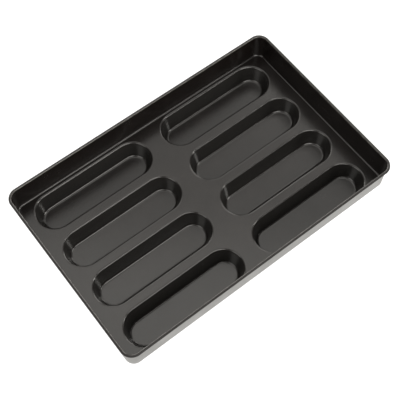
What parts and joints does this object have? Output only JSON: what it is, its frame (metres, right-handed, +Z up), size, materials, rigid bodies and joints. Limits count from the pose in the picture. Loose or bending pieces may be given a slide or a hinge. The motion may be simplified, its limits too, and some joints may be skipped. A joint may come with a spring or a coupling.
{
  "type": "baguette tray",
  "caption": "Rectangular deep-drawn bakery tray with rows of long round-ended pockets, upright side walls and a rim rolled over a wire.",
  "frame": {"origin": "middle of the tray on the plane that its pocket floors stand on", "axes": "+Z up out of the open side, +X along the long side, +Y along the short side"},
  "size_m": [0.6, 0.388, 0.0938],
  "materials": {
    "coated_steel": "satin dark non-stick coating on the inside and the rim, bare grey sheet outside and underneath",
    "wire_steel": "plain drawn wire"
  },
  "bodies": {
    "root": {"tray_sheet": "coated_steel", "rim_wire": "wire_steel"}
  },
  "joints": []
}
